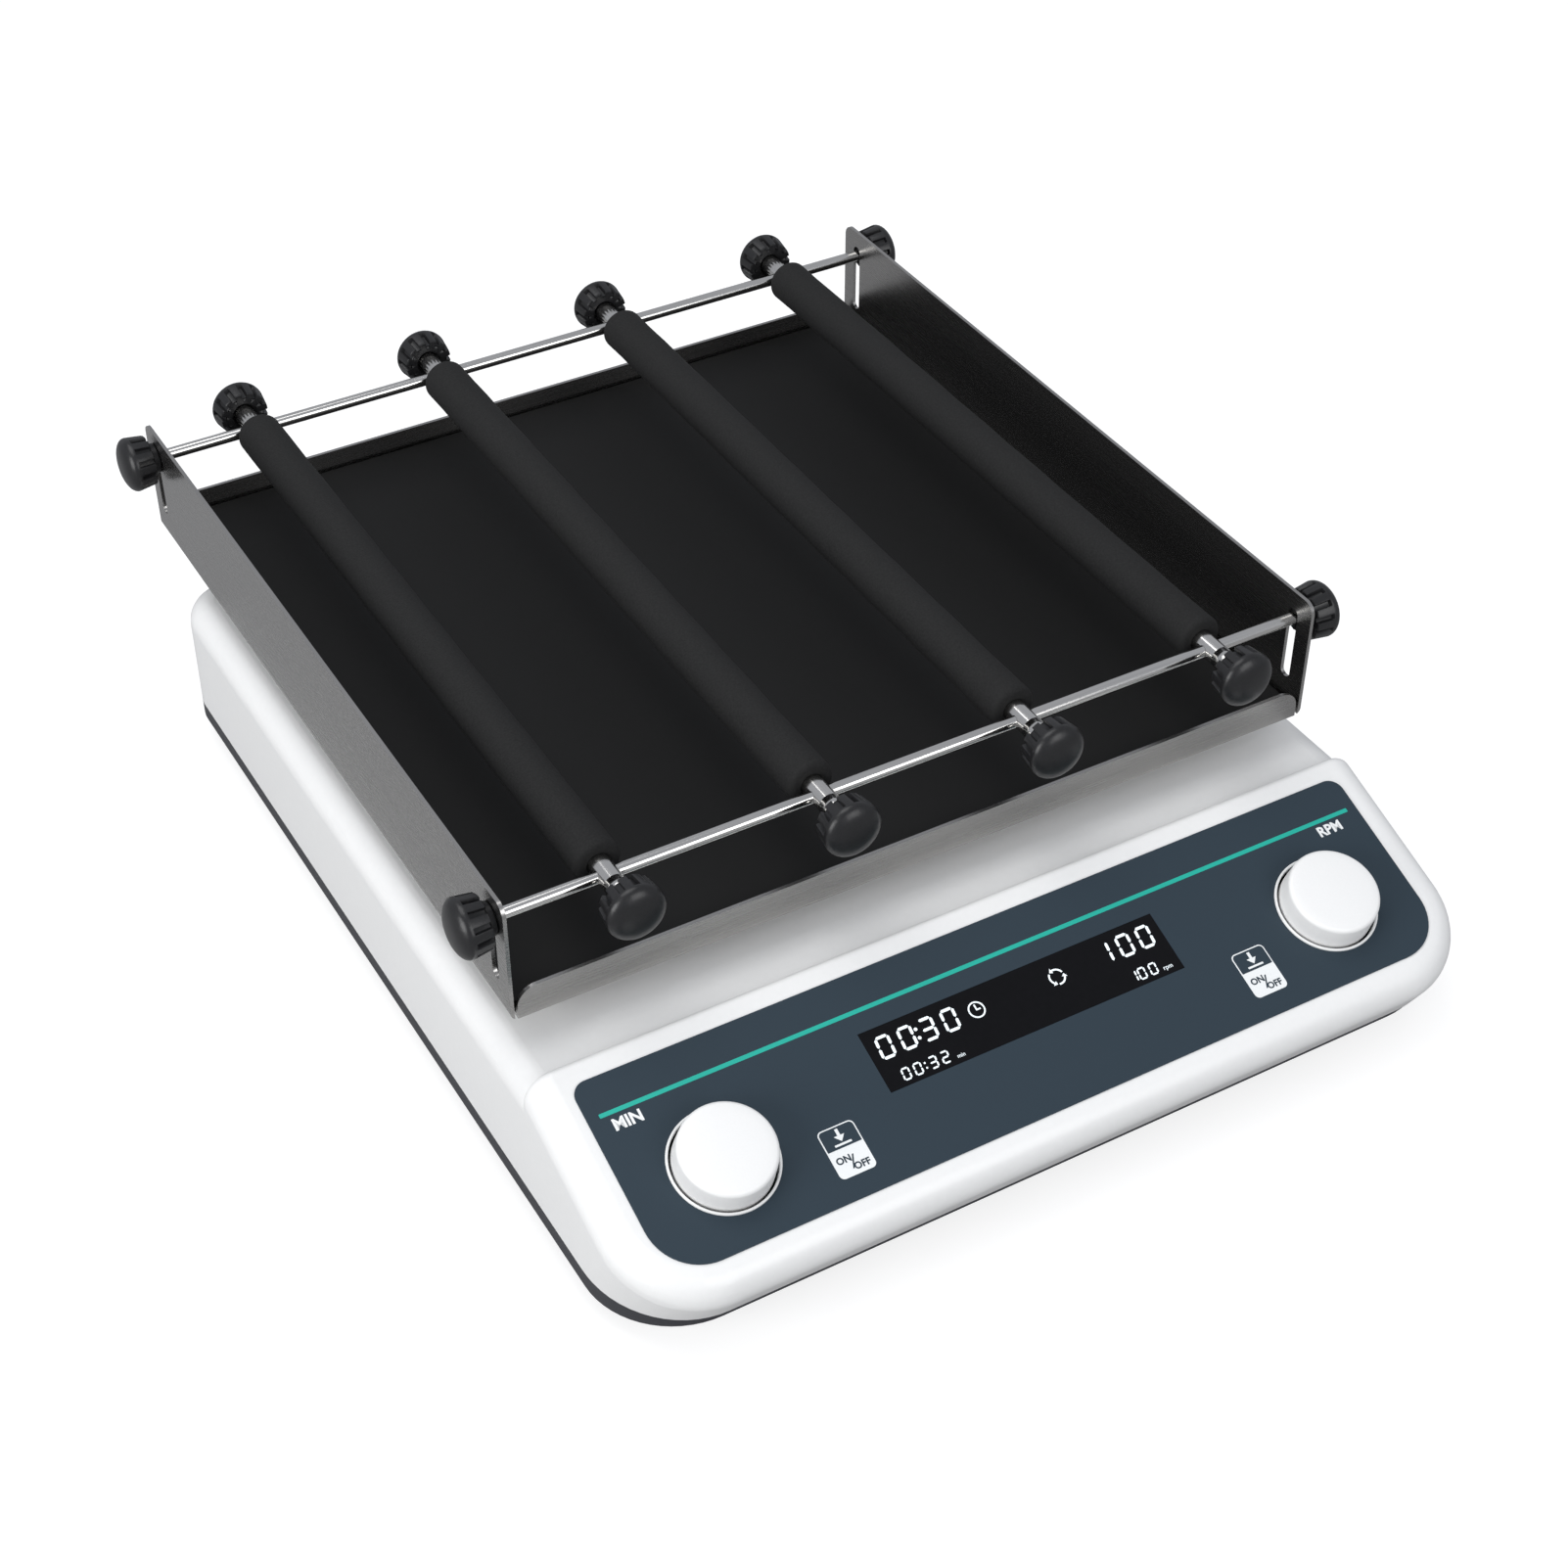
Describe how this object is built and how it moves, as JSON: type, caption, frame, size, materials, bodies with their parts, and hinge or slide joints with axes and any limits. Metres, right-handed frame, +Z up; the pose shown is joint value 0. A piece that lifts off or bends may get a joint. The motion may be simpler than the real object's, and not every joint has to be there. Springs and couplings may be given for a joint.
{
  "type": "orbital shaker",
  "caption": "Benchtop orbital shaker with a sloped control console and an orbiting steel tray with foam-covered clamp bars on cross rods.",
  "frame": {"origin": "on the bench, where the vertical axis that the tray circles about meets it", "axes": "+Z up, -Y towards the user and the control console, +X to the user's right"},
  "size_m": [0.3821, 0.4874, 0.1375],
  "materials": {
    "housing": "satin",
    "base_coat": "satin",
    "rubber": "matte",
    "sheet_steel": "satin",
    "screw_steel": "satin",
    "aluminium": "satin",
    "black_plastic": "matte",
    "board": "matte",
    "window": "gloss",
    "panel_film": "satin",
    "knob": "satin",
    "stainless": "brushed",
    "rod_steel": "polished",
    "foam": "matte",
    "star_plastic": "gloss"
  },
  "bodies": {
    "base": {"base_tray": "base_coat", "top_housing": "housing", "rubber_feet": "rubber", "chassis_plate": "sheet_steel", "chassis_pillars": "sheet_steel", "chassis_screws": "screw_steel", "bearing_housings": "aluminium", "shaft_bearings": "screw_steel", "motor": "sheet_steel", "power_supply": "black_plastic", "control_board": "board", "display_module": "black_plastic", "display_window": "window", "control_panel": "panel_film", "encoder_bodies": "sheet_steel", "mains_inlet": "black_plastic", "switch_frame": "black_plastic", "drive_belt": "rubber"},
    "rocker": {"power_rocker": "black_plastic"},
    "time_turn": {"time_encoder_rotor": "aluminium"},
    "time_push": {"time_knob": "knob", "time_knob_shaft": "screw_steel"},
    "speed_turn": {"speed_encoder_rotor": "aluminium"},
    "speed_push": {"speed_knob": "knob", "speed_knob_shaft": "screw_steel"},
    "drive": {"eccentric_shaft": "screw_steel", "drive_pulley": "aluminium", "counterweight": "sheet_steel"},
    "motor_spin": {"motor_rotor": "screw_steel"},
    "idler_fl": {"idler_front_left": "screw_steel"},
    "idler_fr": {"idler_front_right": "screw_steel"},
    "idler_bl": {"idler_back_left": "screw_steel"},
    "idler_br": {"idler_back_right": "screw_steel"},
    "tray": {"orbit_carrier": "aluminium", "carrier_bearings": "screw_steel", "tray_screws": "screw_steel", "tray_pan": "stainless", "tray_mat": "rubber"},
    "front_rod": {"front_cross_rod": "rod_steel"},
    "back_rod": {"back_cross_rod": "rod_steel"},
    "corner_fl": {"corner_knob_front_left": "star_plastic"},
    "corner_fr": {"corner_knob_front_right": "star_plastic"},
    "corner_bl": {"corner_knob_back_left": "star_plastic"},
    "corner_br": {"corner_knob_back_right": "star_plastic"},
    "bar_1": {"bar_1_tube": "rod_steel", "bar_1_foam": "foam"},
    "bar_1_front": {"bar_1_front_knob": "star_plastic"},
    "bar_1_back": {"bar_1_back_knob": "star_plastic"},
    "bar_2": {"bar_2_tube": "rod_steel", "bar_2_foam": "foam"},
    "bar_2_front": {"bar_2_front_knob": "star_plastic"},
    "bar_2_back": {"bar_2_back_knob": "star_plastic"},
    "bar_3": {"bar_3_tube": "rod_steel", "bar_3_foam": "foam"},
    "bar_3_front": {"bar_3_front_knob": "star_plastic"},
    "bar_3_back": {"bar_3_back_knob": "star_plastic"},
    "bar_4": {"bar_4_tube": "rod_steel", "bar_4_foam": "foam"},
    "bar_4_front": {"bar_4_front_knob": "star_plastic"},
    "bar_4_back": {"bar_4_back_knob": "star_plastic"}
  },
  "joints": [
    {"name": "power_rocker_tilt", "type": "hinge", "parent": "base", "child": "rocker", "pos_m": [0.032, 0.1425, 0.042], "axis": [1, 0, 0], "range_deg": [0, 20]},
    {"name": "time_knob_turn", "type": "hinge", "parent": "base", "child": "time_turn", "pos_m": [-0.1325, -0.25381, 0.05573], "axis": [0, -0.342, 0.9397], "continuous": true},
    {"name": "time_knob_push", "type": "slide", "parent": "time_turn", "child": "time_push", "axis": [0, -0.342, 0.9397], "range_m": [-0.0008, 0], "stiffness_N_per_m": 2000, "springref_m": 0.0008},
    {"name": "speed_knob_turn", "type": "hinge", "parent": "base", "child": "speed_turn", "pos_m": [0.1325, -0.25381, 0.05573], "axis": [0, -0.342, 0.9397], "continuous": true},
    {"name": "speed_knob_push", "type": "slide", "parent": "speed_turn", "child": "speed_push", "axis": [0, -0.342, 0.9397], "range_m": [-0.0008, 0], "stiffness_N_per_m": 2000, "springref_m": 0.0008},
    {"name": "drive_spin", "type": "hinge", "parent": "base", "child": "drive", "pos_m": [0, 0, 0.05], "axis": [0, 0, 1], "continuous": true},
    {"name": "motor_shaft_spin", "type": "hinge", "parent": "base", "child": "motor_spin", "pos_m": [0, -0.115, 0.05], "axis": [0, 0, 1], "continuous": true},
    {"name": "idler_fl_spin", "type": "hinge", "parent": "base", "child": "idler_fl", "pos_m": [-0.11, -0.085, 0.06], "axis": [0, 0, 1], "continuous": true},
    {"name": "idler_fr_spin", "type": "hinge", "parent": "base", "child": "idler_fr", "pos_m": [0.11, -0.085, 0.06], "axis": [0, 0, 1], "continuous": true},
    {"name": "idler_bl_spin", "type": "hinge", "parent": "base", "child": "idler_bl", "pos_m": [-0.11, 0.085, 0.06], "axis": [0, 0, 1], "continuous": true},
    {"name": "idler_br_spin", "type": "hinge", "parent": "base", "child": "idler_br", "pos_m": [0.11, 0.085, 0.06], "axis": [0, 0, 1], "continuous": true},
    {"name": "tray_orbit", "type": "hinge", "parent": "drive", "child": "tray", "pos_m": [-0.0025, -0.00433, 0.079], "axis": [0, 0, 1], "continuous": true},
    {"name": "front_rod_lift", "type": "slide", "parent": "tray", "child": "front_rod", "axis": [0, 0, 1], "range_m": [-0.015, 0.001]},
    {"name": "back_rod_lift", "type": "slide", "parent": "tray", "child": "back_rod", "axis": [0, 0, 1], "range_m": [-0.015, 0.001]},
    {"name": "corner_fl_turn", "type": "hinge", "parent": "front_rod", "child": "corner_fl", "pos_m": [-0.1855, -0.17083, 0.1255], "axis": [-1, 0, 0], "continuous": true},
    {"name": "corner_fr_turn", "type": "hinge", "parent": "front_rod", "child": "corner_fr", "pos_m": [0.1805, -0.17083, 0.1255], "axis": [1, 0, 0], "continuous": true},
    {"name": "corner_bl_turn", "type": "hinge", "parent": "back_rod", "child": "corner_bl", "pos_m": [-0.1855, 0.16217, 0.1255], "axis": [-1, 0, 0], "continuous": true},
    {"name": "corner_br_turn", "type": "hinge", "parent": "back_rod", "child": "corner_br", "pos_m": [0.1805, 0.16217, 0.1255], "axis": [1, 0, 0], "continuous": true},
    {"name": "bar_1_slide", "type": "slide", "parent": "front_rod", "child": "bar_1", "axis": [1, 0, 0], "range_m": [-0.027, 0.027]},
    {"name": "bar_1_front_turn", "type": "hinge", "parent": "bar_1", "child": "bar_1_front", "pos_m": [-0.1325, -0.18083, 0.1255], "axis": [0, -1, 0], "continuous": true},
    {"name": "bar_1_back_turn", "type": "hinge", "parent": "bar_1", "child": "bar_1_back", "pos_m": [-0.1325, 0.18417, 0.1255], "axis": [0, 1, 0], "continuous": true},
    {"name": "bar_2_slide", "type": "slide", "parent": "front_rod", "child": "bar_2", "axis": [1, 0, 0], "range_m": [-0.027, 0.027]},
    {"name": "bar_2_front_turn", "type": "hinge", "parent": "bar_2", "child": "bar_2_front", "pos_m": [-0.045, -0.18083, 0.1255], "axis": [0, -1, 0], "continuous": true},
    {"name": "bar_2_back_turn", "type": "hinge", "parent": "bar_2", "child": "bar_2_back", "pos_m": [-0.045, 0.18417, 0.1255], "axis": [0, 1, 0], "continuous": true},
    {"name": "bar_3_slide", "type": "slide", "parent": "front_rod", "child": "bar_3", "axis": [1, 0, 0], "range_m": [-0.027, 0.027]},
    {"name": "bar_3_front_turn", "type": "hinge", "parent": "bar_3", "child": "bar_3_front", "pos_m": [0.0435, -0.18083, 0.1255], "axis": [0, -1, 0], "continuous": true},
    {"name": "bar_3_back_turn", "type": "hinge", "parent": "bar_3", "child": "bar_3_back", "pos_m": [0.0435, 0.18417, 0.1255], "axis": [0, 1, 0], "continuous": true},
    {"name": "bar_4_slide", "type": "slide", "parent": "front_rod", "child": "bar_4", "axis": [1, 0, 0], "range_m": [-0.027, 0.027]},
    {"name": "bar_4_front_turn", "type": "hinge", "parent": "bar_4", "child": "bar_4_front", "pos_m": [0.131, -0.18083, 0.1255], "axis": [0, -1, 0], "continuous": true},
    {"name": "bar_4_back_turn", "type": "hinge", "parent": "bar_4", "child": "bar_4_back", "pos_m": [0.131, 0.18417, 0.1255], "axis": [0, 1, 0], "continuous": true}
  ],
  "couplings": [
    {"joint": "motor_shaft_spin", "follows": "drive_spin", "ratio": 4},
    {"joint": "idler_fl_spin", "follows": "drive_spin", "ratio": 1},
    {"joint": "idler_fr_spin", "follows": "drive_spin", "ratio": 1},
    {"joint": "idler_bl_spin", "follows": "drive_spin", "ratio": 1},
    {"joint": "idler_br_spin", "follows": "drive_spin", "ratio": 1},
    {"joint": "tray_orbit", "follows": "drive_spin", "ratio": -1},
    {"joint": "back_rod_lift", "follows": "front_rod_lift", "ratio": 1}
  ]
}
